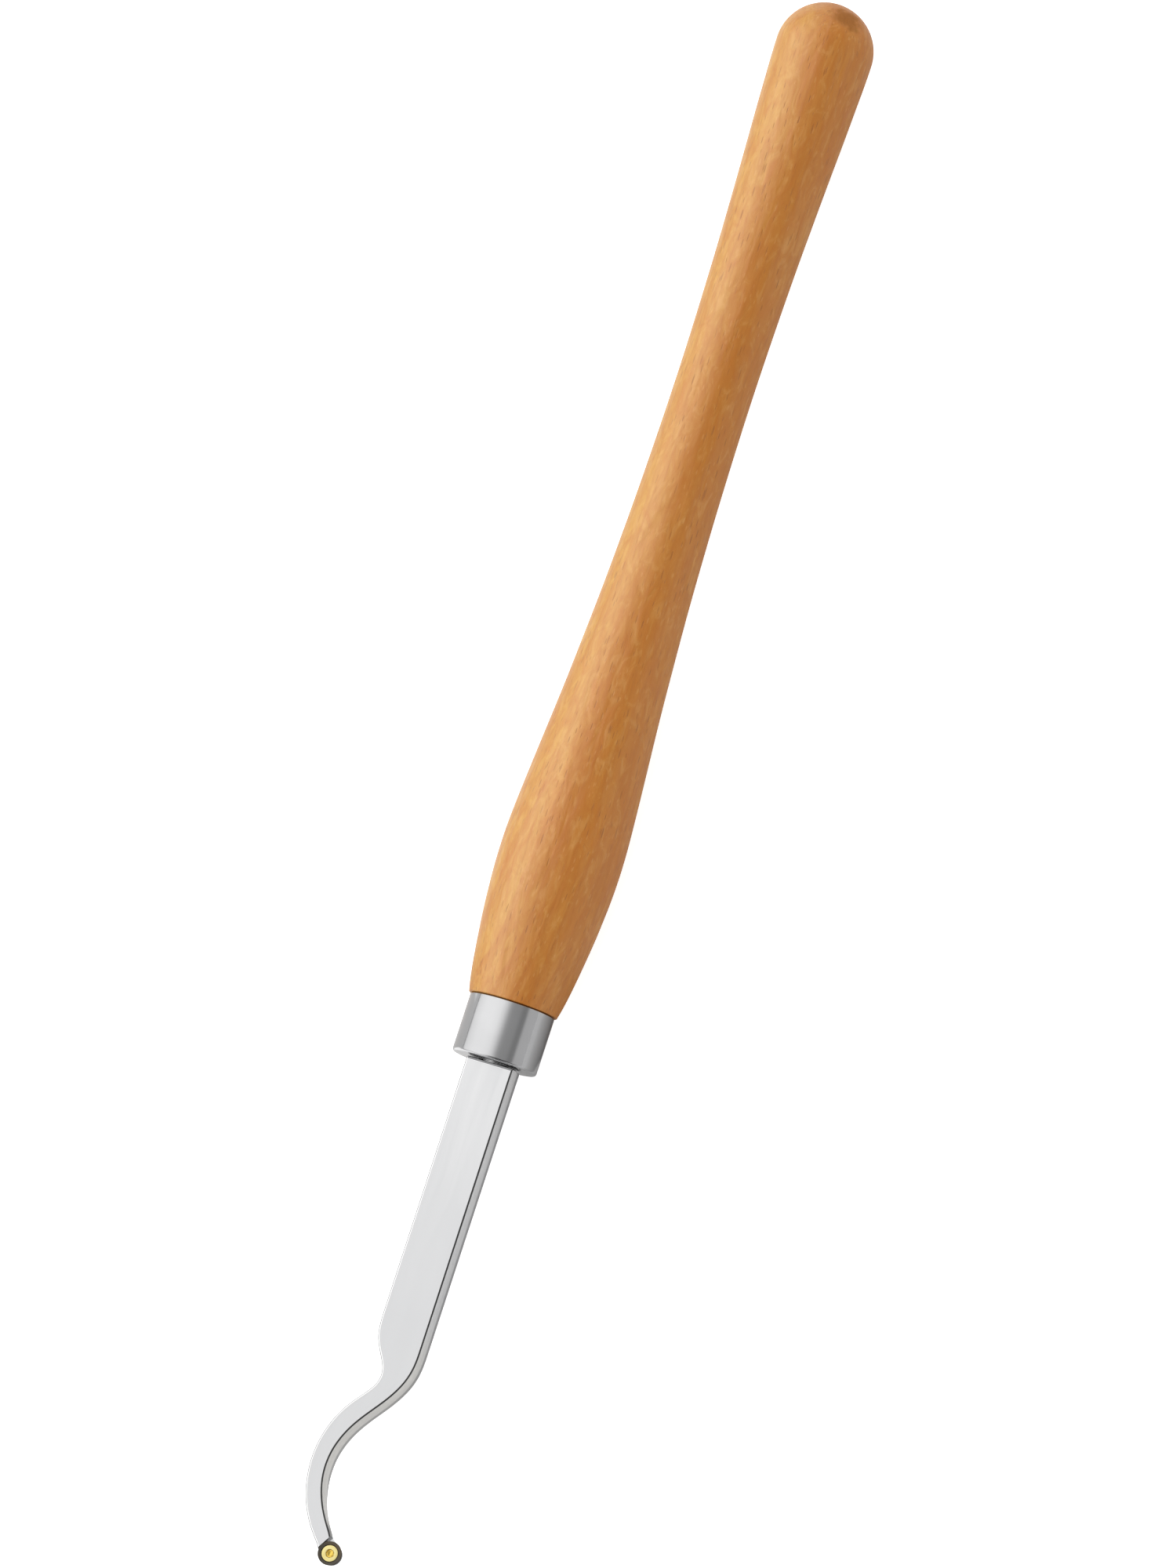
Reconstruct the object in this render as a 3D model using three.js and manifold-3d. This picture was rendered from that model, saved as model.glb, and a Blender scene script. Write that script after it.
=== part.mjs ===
// Woodturner's hollowing tool: turned beech handle, plated steel ferrule, rectangular steel bar with a
// swan neck, and a round carbide insert held on the nose by one countersunk screw.
// Millimetres. +X runs along the tool's axis from the butt of the handle to the cutting tip, +Z is the
// outward normal of the cutting face, and the neck bends towards -Y. The origin is on the tool's axis,
// halfway along its length. "Station" below means distance along X from a datum plane just behind the
// ferrule's front face.
import * as THREE from 'three';
import { mergeVertices } from 'three/addons/utils/BufferGeometryUtils.js';
import Module from 'manifold-3d';

const wasm = await Module();
wasm.setup();

// ---------------------------------------------------------------- driving dimensions
const BUTT_STATION = -365.9;      // end of the handle
const INSERT_STATION = 170.7;     // centre of the round insert, on the tool's axis
const INSERT_R = 4.0;             // 8 mm round insert
const OVERALL = INSERT_STATION + INSERT_R - BUTT_STATION;          // 540.6
const DATUM_X = OVERALL / 2 - (INSERT_STATION + INSERT_R);         // 95.6

const BUTT_R = 16.25;             // the butt is close to a half ball
// handle outline, [station, radius]
const HANDLE_OUTLINE = [
  [-345, 16.19], [-337, 15.92], [-325, 15.48], [-310, 14.83], [-295, 14.25], [-280, 13.73],
  [-265, 13.37], [-250, 13.12], [-235, 13.01], [-220, 13.07], [-205, 13.28], [-190, 13.60],
  [-175, 14.08], [-162, 14.58], [-150, 15.19], [-138, 15.88], [-126, 16.62], [-114, 17.50],
  [-104, 18.28], [-95, 18.95], [-87, 19.52], [-80, 19.95], [-73, 20.20], [-67, 20.20],
  [-61, 20.02], [-55, 19.65], [-48, 19.12], [-42, 18.50], [-36, 17.80], [-30, 17.02],
  [-25, 16.25], [-21, 15.45], [-19.65, 15.12], [-19.35, 14.85],
];
const HANDLE_SHOULDER = -19.35;   // the wood stops here and the tenon starts
const TENON_R = 12.5;
const TENON_FRONT = -2.9;
const BORE_R = 6.2;               // blind bore for the tang
const BORE_END = -97.5;

const FERRULE_BACK = -19.05;
const FERRULE_FACE = 0.75;        // front face
const FERRULE_R = 14.4;
const FERRULE_BORE_R = 12.8;
const FERRULE_INSIDE = -2.4;      // back of the front wall, which is 3.15 mm thick
const FERRULE_HOLE_R = 5.4;       // clears the tang
const FERRULE_LIP_R = 1.0;        // rounding of the front outer edge

const TANG_R = 5.0;               // 10 mm round tang
const TANG_END = -95.0;
const BOND_R_OUT = 5.9;
const BOND_R_IN = 5.3;
const BOND_FRONT = -3.2;
const BOND_END = -97.2;
const BOND_FLOOR = -95.3;

const BAR_HALF_W = 8.2;           // half the width of the drawn outline
const BAR_PROUD = 0.4;            // the crowned sides stand this far outside it: the bar is 17.2 mm wide
const BAR_HALF_T = 6.0;           // 12 mm thick bar
const BAR_SHOULDER = 1.45;        // less BAR_PROUD, the bar's shoulder: 0.3 mm off the ferrule
const BAR_EDGE = 0.8;             // the flats stop this far inside the crowned sides
const BAR_EDGE_DEPTH = 2.4;       // the rounding reaches this far down the sides
const BAR_CORNER = 0.4;           // chamfer of the shoulder's corners

// the two edges of the swan neck seen from above, [station, y]
const NECK_OUTER = [
  [90, -8.2], [94, -8.05], [97, -7.62], [100, -6.6], [103, -5.02], [106, -3.4], [109, -2.47],
  [112, -2.78], [115, -4.35], [118, -6.68], [121, -9.05], [124, -11.03], [127, -12.6],
  [130, -13.81], [133, -14.75], [136, -15.43], [139, -15.84], [142, -16.0], [145, -15.91],
  [148, -15.58], [151, -15.01], [154, -14.19], [157, -13.07], [160, -11.63], [163, -9.83],
  [166, -7.62], [168.3, -5.72], [169.8, -4.6], [170.9, -4.0],
];
const NECK_INNER = [
  [99, 8.2], [103, 8.05], [106, 7.63], [109, 6.83], [112, 5.58], [115, 3.93], [118, 1.94],
  [121, -0.29], [124, -2.57], [127, -4.68], [130, -6.47], [133, -7.89], [136, -8.96],
  [139, -9.67], [142, -10.02], [145, -10.03], [148, -9.69], [151, -9.0], [154, -7.98],
  [157, -6.62], [160, -4.92], [163, -2.9], [164.6, -1.85], [165.6, -1.2], [166.2, -0.45],
  [166.75, 0.45], [167.25, 1.25],
];
const NOSE_R = 3.2;               // the nose under the insert, less BAR_PROUD
const NOSE_FROM = -66;            // degrees: the nose's arc starts at the outer edge
const NOSE_TO = 148;              // degrees: and ends at the fillet to the inner edge

const SEAT_Z = 3.45;              // ledge that the insert sits on
const SEAT_WALL = 4.15;           // distance from the insert's centre to the seat's shoulder
const SEAT_TURN = 58.77;          // degrees: direction of the shoulder's normal, from +X
// underside of the neck, [station, z]: the bar is thinned towards the nose
const RELIEF = [
  [141, -6.3], [143, -6.0], [146, -5.7], [150, -4.75], [154, -3.2], [158, -1.45], [161, -0.25],
  [164, 0.55], [167, 0.87], [170, 0.9],
];
const NOSE_Z = 0.9;               // underside of the nose
const SCREW_HOLE_R = 1.6;

const INSERT_TOP = 6.0;
const INSERT_BOTTOM = 3.6;
const INSERT_FOOT_R = 3.45;       // the side leans in below the cutting edge
const INSERT_HOLE_R = 1.75;
const INSERT_SINK_R = 2.92;
const INSERT_SINK_Z = 5.7;

const SCREW_HEAD_R = 2.75;        // countersunk M3
const SCREW_TOP = 5.85;
const SCREW_RIM = 5.7;
const SCREW_SHANK_R = 1.45;
const SCREW_END = 1.0;
const SOCKET_FLATS = 2.38;        // 3/32 inch hex key
const SOCKET_DEPTH = 1.2;

const TURN_SEGMENTS = 48;         // steps around the big turned pieces

// ---------------------------------------------------------------- helpers
const COLOURS = { handle: 0xc98a45, ferrule: 0xc9c9cb, bar: 0xdfe0e1, bond: 0xb9a878, insert: 0x4a443d, screw: 0xe6cd74 };

// a profile of [station, radius] pairs turned about the tool's axis
function turned(profile, segments = TURN_SEGMENTS) {
  const points = profile.map(([x, r]) => new THREE.Vector2(Math.max(r, 0), x));
  return new THREE.LatheGeometry(points, segments).rotateZ(-Math.PI / 2);
}

// a profile of [radius, z] pairs turned about a vertical axis at the insert's centre
function turnedUpright(profile, segments) {
  const points = profile.map(([r, z]) => new THREE.Vector2(r, z));
  return new THREE.LatheGeometry(points, segments).rotateX(Math.PI / 2).translate(INSERT_STATION, 0, 0);
}

// points along a smooth curve through the given [u, v] pairs
function smooth(pairs, steps) {
  const curve = new THREE.CatmullRomCurve3(pairs.map(([u, v]) => new THREE.Vector3(u, v, 0)), false, 'centripetal');
  return curve.getPoints(steps).map((p) => new THREE.Vector2(p.x, p.y));
}

function arc(cx, cy, r, from, to, steps) {
  const out = [];
  for (let i = 0; i <= steps; i += 1) {
    const a = THREE.MathUtils.degToRad(from + ((to - from) * i) / steps);
    out.push(new THREE.Vector2(cx + r * Math.cos(a), cy + r * Math.sin(a)));
  }
  return out;
}

function toSolid(geometry) {
  const bare = geometry.index ? geometry.toNonIndexed() : geometry.clone();
  for (const name of Object.keys(bare.attributes)) if (name !== 'position') bare.deleteAttribute(name);
  const merged = mergeVertices(bare, 1e-4);
  return new wasm.Manifold(new wasm.Mesh({
    numProp: 3,
    vertProperties: new Float32Array(merged.attributes.position.array),
    triVerts: new Uint32Array(merged.index.array),
  }));
}

function toGeometry(solid) {
  const mesh = solid.getMesh();
  const geometry = new THREE.BufferGeometry();
  const positions = new Float32Array((mesh.vertProperties.length / mesh.numProp) * 3);
  for (let i = 0; i < positions.length / 3; i += 1) {
    for (let j = 0; j < 3; j += 1) positions[3 * i + j] = mesh.vertProperties[mesh.numProp * i + j];
  }
  geometry.setAttribute('position', new THREE.BufferAttribute(positions, 3));
  geometry.setIndex(new THREE.BufferAttribute(new Uint32Array(mesh.triVerts), 1));
  geometry.computeVertexNormals();
  return geometry;
}

const group = new THREE.Group();

function add(name, geometry, color, roughness, metalness) {
  const mesh = new THREE.Mesh(geometry, new THREE.MeshStandardMaterial({ color, roughness, metalness }));
  mesh.name = name;
  mesh.position.set(DATUM_X, 0, 0);
  group.add(mesh);
}

// ---------------------------------------------------------------- handle
{
  const profile = [[BUTT_STATION, 0]];
  const centre = BUTT_STATION + BUTT_R;
  for (const deg of [8, 18, 30, 42, 54, 66, 77, 87]) {
    const a = THREE.MathUtils.degToRad(deg);
    profile.push([centre - BUTT_R * Math.cos(a), BUTT_R * Math.sin(a)]);
  }
  profile.push(...HANDLE_OUTLINE);
  profile.push([HANDLE_SHOULDER, TENON_R], [TENON_FRONT - 0.6, TENON_R], [TENON_FRONT, TENON_R - 0.6]);
  profile.push([TENON_FRONT, BORE_R], [BORE_END, BORE_R], [BORE_END, 0]);
  add('handle', turned(profile), COLOURS.handle, 0.45, 0);
}

// ---------------------------------------------------------------- ferrule: a cup over the tenon
{
  const profile = [[FERRULE_BACK, FERRULE_BORE_R], [FERRULE_BACK, FERRULE_R - 0.2], [FERRULE_BACK + 0.2, FERRULE_R]];
  for (const deg of [90, 60, 30, 0]) {
    const a = THREE.MathUtils.degToRad(deg);
    profile.push([FERRULE_FACE - FERRULE_LIP_R + FERRULE_LIP_R * Math.cos(a), FERRULE_R - FERRULE_LIP_R + FERRULE_LIP_R * Math.sin(a)]);
  }
  profile.push([FERRULE_FACE, FERRULE_HOLE_R + 0.4], [FERRULE_FACE - 0.4, FERRULE_HOLE_R]);
  profile.push([FERRULE_INSIDE, FERRULE_HOLE_R], [FERRULE_INSIDE, FERRULE_BORE_R], [FERRULE_BACK, FERRULE_BORE_R]);
  add('ferrule', turned(profile), COLOURS.ferrule, 0.2, 1);
}

// ---------------------------------------------------------------- glue around the tang
add('tang_bond', turned([
  [BOND_END, 0], [BOND_END, BOND_R_OUT], [BOND_FRONT, BOND_R_OUT], [BOND_FRONT, BOND_R_IN],
  [BOND_FLOOR, BOND_R_IN], [BOND_FLOOR, 0],
], 32), COLOURS.bond, 0.5, 0);

// ---------------------------------------------------------------- bar, swan neck, nose and tang
{
  const outline = [];
  outline.push(new THREE.Vector2(BAR_SHOULDER, -BAR_HALF_W + BAR_CORNER));
  outline.push(new THREE.Vector2(BAR_SHOULDER + BAR_CORNER, -BAR_HALF_W));
  outline.push(...smooth(NECK_OUTER, 64));
  outline.push(...arc(INSERT_STATION, 0, NOSE_R, NOSE_FROM, NOSE_TO, 20));
  outline.push(...smooth(NECK_INNER.slice().reverse(), 56));
  outline.push(new THREE.Vector2(BAR_SHOULDER + BAR_CORNER, BAR_HALF_W));
  outline.push(new THREE.Vector2(BAR_SHOULDER, BAR_HALF_W - BAR_CORNER));
  const slab = new THREE.ExtrudeGeometry(new THREE.Shape(outline), {
    depth: 2 * (BAR_HALF_T - BAR_EDGE_DEPTH),
    bevelEnabled: true,
    bevelThickness: BAR_EDGE_DEPTH,
    bevelSize: BAR_EDGE,
    bevelOffset: BAR_PROUD - BAR_EDGE,
    bevelSegments: 3,
    steps: 1,
    curveSegments: 1,
  }).translate(0, 0, -(BAR_HALF_T - BAR_EDGE_DEPTH));
  let bar = toSolid(slab);

  const tang = turned([[TANG_END, 0], [TANG_END, TANG_R - 0.8], [TANG_END + 0.8, TANG_R], [BAR_SHOULDER + 3, TANG_R], [BAR_SHOULDER + 3, 0]]);
  bar = bar.add(toSolid(tang));

  // thin the underside towards the nose
  const under = new THREE.Shape([
    ...smooth(RELIEF, 28),
    new THREE.Vector2(INSERT_STATION + 12, NOSE_Z),
    new THREE.Vector2(INSERT_STATION + 12, -12),
    new THREE.Vector2(RELIEF[0][0], -12),
  ]);
  const cut = new THREE.ExtrudeGeometry(under, { depth: 40, bevelEnabled: false, steps: 1, curveSegments: 1 })
    .rotateX(Math.PI / 2)   // the sketch's y becomes z, and its depth runs to -Y
    .translate(0, 14, 0);
  bar = bar.subtract(toSolid(cut));

  // the stepped seat: everything above the ledge, beyond the shoulder
  const seat = new THREE.BoxGeometry(14, 24, 6)
    .translate(7 - SEAT_WALL, 0, SEAT_Z + 3)
    .rotateZ(THREE.MathUtils.degToRad(SEAT_TURN))
    .translate(INSERT_STATION, 0, 0);
  bar = bar.subtract(toSolid(seat));

  // the screw's hole through the nose
  const hole = new THREE.CylinderGeometry(SCREW_HOLE_R, SCREW_HOLE_R, 10, 32)
    .rotateX(Math.PI / 2)
    .translate(INSERT_STATION, 0, 2);
  bar = bar.subtract(toSolid(hole));
  add('tool_bar', toGeometry(bar), COLOURS.bar, 0.12, 1);
}

// ---------------------------------------------------------------- round insert
add('cutter_insert', turnedUpright([
  [INSERT_FOOT_R, INSERT_BOTTOM], [INSERT_R, INSERT_TOP - 0.05], [INSERT_R - 0.05, INSERT_TOP],
  [INSERT_SINK_R, INSERT_TOP], [INSERT_SINK_R, INSERT_SINK_Z],
  [INSERT_HOLE_R, INSERT_SINK_Z - (INSERT_SINK_R - INSERT_HOLE_R)], [INSERT_HOLE_R, INSERT_BOTTOM],
  [INSERT_FOOT_R, INSERT_BOTTOM],
], 48), COLOURS.insert, 0.4, 0.8);

// ---------------------------------------------------------------- countersunk screw
{
  const neck = SCREW_RIM - (SCREW_HEAD_R - SCREW_SHANK_R);
  const blank = turnedUpright([
    [0, SCREW_END], [SCREW_SHANK_R - 0.35, SCREW_END], [SCREW_SHANK_R, SCREW_END + 0.35],
    [SCREW_SHANK_R, neck], [SCREW_HEAD_R, SCREW_RIM], [SCREW_HEAD_R, SCREW_TOP - 0.05],
    [SCREW_HEAD_R - 0.08, SCREW_TOP], [0, SCREW_TOP],
  ], 32);
  const socket = new THREE.CylinderGeometry(SOCKET_FLATS / Math.sqrt(3), SOCKET_FLATS / Math.sqrt(3), SOCKET_DEPTH + 1, 6)
    .rotateX(Math.PI / 2)
    .translate(INSERT_STATION, 0, SCREW_TOP - SOCKET_DEPTH + (SOCKET_DEPTH + 1) / 2);
  add('cutter_screw', toGeometry(toSolid(blank).subtract(toSolid(socket))), COLOURS.screw, 0.25, 0.9);
}

export default group;
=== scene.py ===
# Woodturner's hollowing tool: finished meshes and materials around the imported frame.
# Row frame in metres: +X along the tool towards the cutting tip, +Z out of the cutting face, and the
# neck bends towards -Y. Shapes are worked out in millimetres and scaled when a mesh is made.
import math

import bmesh
import bpy
import numpy as np
from mathutils import Matrix, Quaternion, Vector, geometry


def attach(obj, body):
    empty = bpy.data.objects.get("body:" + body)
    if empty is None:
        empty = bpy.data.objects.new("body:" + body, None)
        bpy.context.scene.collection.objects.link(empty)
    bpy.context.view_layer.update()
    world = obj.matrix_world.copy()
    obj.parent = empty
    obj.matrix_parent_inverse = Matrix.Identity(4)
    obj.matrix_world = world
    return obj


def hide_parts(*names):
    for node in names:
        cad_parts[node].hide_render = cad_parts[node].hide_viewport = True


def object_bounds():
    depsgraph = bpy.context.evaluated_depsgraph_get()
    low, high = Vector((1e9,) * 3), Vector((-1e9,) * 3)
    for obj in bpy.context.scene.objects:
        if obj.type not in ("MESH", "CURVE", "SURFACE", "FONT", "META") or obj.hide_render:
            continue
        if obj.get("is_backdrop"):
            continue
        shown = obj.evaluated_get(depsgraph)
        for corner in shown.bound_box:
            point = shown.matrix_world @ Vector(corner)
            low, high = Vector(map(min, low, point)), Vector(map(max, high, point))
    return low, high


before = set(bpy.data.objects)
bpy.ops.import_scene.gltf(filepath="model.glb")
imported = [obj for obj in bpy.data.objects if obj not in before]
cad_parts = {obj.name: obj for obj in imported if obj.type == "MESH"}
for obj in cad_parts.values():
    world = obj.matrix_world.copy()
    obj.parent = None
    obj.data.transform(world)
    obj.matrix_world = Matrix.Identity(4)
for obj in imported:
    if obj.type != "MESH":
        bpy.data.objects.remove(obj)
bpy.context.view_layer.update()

MM = 0.001
scene = bpy.context.scene

# ------------------------------------------------------------------ dimensions, as in the frame (mm)
FRONT = 95.6            # X of the datum plane that stations are counted from
FACE = 0.75             # front face of the ferrule
BUTT = -365.9
TIP = 170.7             # the insert's centre
BUTT_R = 16.25
OUTLINE = [
    (-345, 16.19), (-337, 15.92), (-325, 15.48), (-310, 14.83), (-295, 14.25), (-280, 13.73),
    (-265, 13.37), (-250, 13.12), (-235, 13.01), (-220, 13.07), (-205, 13.28), (-190, 13.60),
    (-175, 14.08), (-162, 14.58), (-150, 15.19), (-138, 15.88), (-126, 16.62), (-114, 17.50),
    (-104, 18.28), (-95, 18.95), (-87, 19.52), (-80, 19.95), (-73, 20.20), (-67, 20.20),
    (-61, 20.02), (-55, 19.65), (-48, 19.12), (-42, 18.50), (-36, 17.80), (-30, 17.02),
    (-25, 16.25), (-21, 15.45), (-19.65, 15.12),
]
NECK_OUTER = [
    (90, -8.2), (94, -8.05), (97, -7.62), (100, -6.6), (103, -5.02), (106, -3.4), (109, -2.47),
    (112, -2.78), (115, -4.35), (118, -6.68), (121, -9.05), (124, -11.03), (127, -12.6),
    (130, -13.81), (133, -14.75), (136, -15.43), (139, -15.84), (142, -16.0), (145, -15.91),
    (148, -15.58), (151, -15.01), (154, -14.19), (157, -13.07), (160, -11.63), (163, -9.83),
    (166, -7.62), (168.3, -5.72), (169.8, -4.6), (170.9, -4.0),
]
NECK_INNER = [
    (99, 8.2), (103, 8.05), (106, 7.63), (109, 6.83), (112, 5.58), (115, 3.93), (118, 1.94),
    (121, -0.29), (124, -2.57), (127, -4.68), (130, -6.47), (133, -7.89), (136, -8.96),
    (139, -9.67), (142, -10.02), (145, -10.03), (148, -9.69), (151, -9.0), (154, -7.98),
    (157, -6.62), (160, -4.92), (163, -2.9), (164.6, -1.85), (165.6, -1.2), (166.2, -0.45),
    (166.75, 0.45), (167.25, 1.25),
]
RELIEF = [
    (141, -6.0), (143, -6.0), (146, -5.7), (150, -4.75), (154, -3.2), (158, -1.45), (161, -0.25),
    (164, 0.55), (167, 0.87), (170, 0.9), (176, 0.9),
]
HALF_W, HALF_T, SHOULDER, END_ROUND = 8.2, 6.0, 1.05, 1.1
NOSE_R, SEAT_Z, SEAT_WALL, SEAT_TURN = 3.5, 3.45, 4.15, 58.77


# ------------------------------------------------------------------ the camera, matched to the photograph
def place_camera():
    lens_px = 60000.0                      # focal length in pixels of a 1500 x 2000 frame: a very long lens
    px_per_mm = 3.9
    away = lens_px / px_per_mm * MM
    phi, theta = math.radians(13.0), math.radians(6.0)
    back = Vector((math.sin(theta), math.cos(theta) * math.sin(phi), math.cos(theta) * math.cos(phi)))
    along = (Vector((1, 0, 0)) - back * back.x).normalized()
    across = back.cross(along)
    ux, uy = -0.31032, -0.95063            # the tool's axis in the picture: right, up
    right = along * ux - across * uy
    up = along * uy + across * ux
    aim = Vector((-0.6 * MM, 0, 0)) + across * (0.92 * MM)
    cam = bpy.data.objects.new("camera", bpy.data.cameras.new("camera"))
    scene.collection.objects.link(cam)
    cam.data.sensor_fit = "AUTO"
    cam.data.sensor_width = 36.0
    cam.data.lens = lens_px / 2000.0 * 36.0
    cam.data.clip_start, cam.data.clip_end = 0.1, 100.0
    turn = Matrix((right, up, back)).transposed()
    cam.matrix_world = Matrix.Translation(aim + back * away) @ turn.to_4x4()
    scene.camera = cam
    return cam


camera = place_camera()


# ------------------------------------------------------------------ mesh helpers
def spline(points, xs):
    """Natural cubic through (x, y) points, evaluated at xs."""
    x = np.array([p[0] for p in points], float)
    y = np.array([p[1] for p in points], float)
    n = len(x)
    h = np.diff(x)
    a = np.zeros((n, n))
    b = np.zeros(n)
    a[0, 0] = a[-1, -1] = 1.0
    for i in range(1, n - 1):
        a[i, i - 1], a[i, i], a[i, i + 1] = h[i - 1], 2 * (h[i - 1] + h[i]), h[i]
        b[i] = 6 * ((y[i + 1] - y[i]) / h[i] - (y[i] - y[i - 1]) / h[i - 1])
    m = np.linalg.solve(a, b)
    xs = np.asarray(xs, float)
    i = np.clip(np.searchsorted(x, xs) - 1, 0, n - 2)
    d0, d1 = xs - x[i], x[i + 1] - xs
    return (m[i] * d1**3 + m[i + 1] * d0**3) / (6 * h[i]) + (y[i] / h[i] - m[i] * h[i] / 6) * d1 + (
        y[i + 1] / h[i] - m[i + 1] * h[i] / 6
    ) * d0


def smooth_path(points, step):
    """Points about `step` apart on a cubic through (x, y) points, by arc length."""
    p = np.array(points, float)
    t = np.concatenate([[0], np.cumsum(np.linalg.norm(np.diff(p, axis=0), axis=1))])
    n = max(int(round(t[-1] / step)), 2)
    ts = np.linspace(0, t[-1], n + 1)
    return np.stack([spline(list(zip(t, p[:, k])), ts) for k in (0, 1)], axis=1)


def new_object(name, verts, faces, sharp=35.0):
    """A mesh object from millimetre vertices."""
    mesh = bpy.data.meshes.new(name)
    mesh.from_pydata([tuple(c * MM for c in v) for v in verts], [], faces)
    mesh.validate()
    bm = bmesh.new()
    bm.from_mesh(mesh)
    bmesh.ops.recalc_face_normals(bm, faces=bm.faces)
    bm.to_mesh(mesh)
    bm.free()
    mesh.polygons.foreach_set("use_smooth", [True] * len(mesh.polygons))
    mesh.set_sharp_from_angle(angle=math.radians(sharp))
    obj = bpy.data.objects.new(name, mesh)
    scene.collection.objects.link(obj)
    return obj


def revolve(profile, segments, place, closed=False):
    """Vertices and faces of a profile [(along, radius)] turned about an axis. Radius 0 makes one vertex.
    place(along, radius * cos, radius * sin) gives the vertex."""
    verts, rings = [], []
    for a, r in profile:
        if r < 1e-9:
            rings.append([len(verts)])
            verts.append(place(a, 0.0, 0.0))
        else:
            rings.append(list(range(len(verts), len(verts) + segments)))
            for k in range(segments):
                w = 2 * math.pi * k / segments
                verts.append(place(a, r * math.cos(w), r * math.sin(w)))
    faces = []
    pairs = list(zip(rings, rings[1:])) + ([(rings[-1], rings[0])] if closed else [])
    for p, q in pairs:
        for k in range(segments):
            j = (k + 1) % segments
            if len(p) == 1 and len(q) == 1:
                continue
            if len(p) == 1:
                faces.append((p[0], q[j], q[k]))
            elif len(q) == 1:
                faces.append((p[k], p[j], q[0]))
            else:
                faces.append((p[k], p[j], q[j], q[k]))
    return verts, faces


def along_x(a, u, v):
    return (a + FRONT, u, v)


def upright(a, u, v):
    return (TIP + FRONT + u, v, a)


def rounded(cx, cy, r, start, end, steps):
    """Profile points on an arc, in degrees."""
    return [
        (cx + r * math.cos(math.radians(start + (end - start) * i / steps)),
         cy + r * math.sin(math.radians(start + (end - start) * i / steps)))
        for i in range(steps + 1)
    ]


def cut(target, tool, operation="DIFFERENCE"):
    """Applies a boolean and drops the tool object."""
    mod = target.modifiers.new("cut", "BOOLEAN")
    mod.operation = operation
    mod.solver = "EXACT"
    mod.object = tool
    dg = bpy.context.evaluated_depsgraph_get()
    made = bpy.data.meshes.new_from_object(target.evaluated_get(dg))
    target.modifiers.clear()
    old = target.data
    target.data = made
    bpy.data.meshes.remove(old)
    bpy.data.objects.remove(tool, do_unlink=True)


def finish_piece(obj, body, node, slot, *materials):
    chosen = [p.material_index for p in obj.data.polygons]
    obj.data.materials.clear()
    for material in materials:
        obj.data.materials.append(material)
    obj.data.polygons.foreach_set("material_index", [min(c, len(materials) - 1) for c in chosen])
    obj.data.name = obj.name
    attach(obj, body)
    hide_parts(node)


# ------------------------------------------------------------------ node helpers
class Nodes:
    def __init__(self, name):
        self.mat = bpy.data.materials.new(name)
        self.mat.use_nodes = True
        self.tree = self.mat.node_tree
        self.tree.nodes.clear()
        self.out = self.tree.nodes.new("ShaderNodeOutputMaterial")
        self.bsdf = self.tree.nodes.new("ShaderNodeBsdfPrincipled")
        self.link(self.bsdf.outputs[0], self.out.inputs[0])

    def link(self, a, b):
        self.tree.links.new(a, b)

    def node(self, kind, inputs=None, **props):
        n = self.tree.nodes.new("ShaderNode" + kind)
        for k, v in props.items():
            setattr(n, k, v)
        for k, v in (inputs or {}).items():
            if isinstance(v, bpy.types.NodeSocket):
                self.link(v, n.inputs[k])
            else:
                n.inputs[k].default_value = v
        return n

    def coords(self, scale, rotation=(0, 0, 0), location=(0, 0, 0), source=None):
        src = source or self.node("TexCoord").outputs["Object"]
        m = self.node("Mapping", {"Vector": src, "Scale": scale, "Rotation": rotation, "Location": location})
        return m.outputs[0]

    def noise(self, vector, scale=1.0, detail=2.0, rough=0.5, distortion=0.0):
        n = self.node("TexNoise", {"Vector": vector, "Scale": scale, "Detail": detail, "Roughness": rough, "Distortion": distortion})
        return n.outputs["Fac"]

    def math(self, op, a, b=None, c=None, clamp=False):
        n = self.node("Math", operation=op, use_clamp=clamp)
        for i, v in enumerate((a, b, c)):
            if v is None:
                continue
            if isinstance(v, bpy.types.NodeSocket):
                self.link(v, n.inputs[i])
            else:
                n.inputs[i].default_value = v
        return n.outputs[0]

    def remap(self, value, lo, hi, to_lo=0.0, to_hi=1.0, smooth=False):
        n = self.node("MapRange", {"Value": value, "From Min": lo, "From Max": hi, "To Min": to_lo, "To Max": to_hi})
        n.interpolation_type = "SMOOTHSTEP" if smooth else "LINEAR"
        return n.outputs[0]

    def mix(self, fac, a, b, blend="MIX"):
        n = self.node("Mix", data_type="RGBA", blend_type=blend)
        for key, v in (("Factor", fac), ("A", a), ("B", b)):
            sock = [s for s in n.inputs if s.name == key and (s.type == "VALUE" if key == "Factor" else s.type == "RGBA")][0]
            if isinstance(v, bpy.types.NodeSocket):
                self.link(v, sock)
            else:
                sock.default_value = v if key == "Factor" else (*v, 1.0)
        return [s for s in n.outputs if s.type == "RGBA"][0]

    def bump(self, height, strength, distance):
        n = self.node("Bump", {"Height": height, "Strength": strength, "Distance": distance})
        self.link(n.outputs[0], self.bsdf.inputs["Normal"])
        return n

    def set(self, **values):
        for k, v in values.items():
            sock = self.bsdf.inputs[k.replace("_", " ")]
            if isinstance(v, bpy.types.NodeSocket):
                self.link(v, sock)
            elif sock.type == "RGBA":
                sock.default_value = (*v, 1.0)
            else:
                sock.default_value = v


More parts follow.
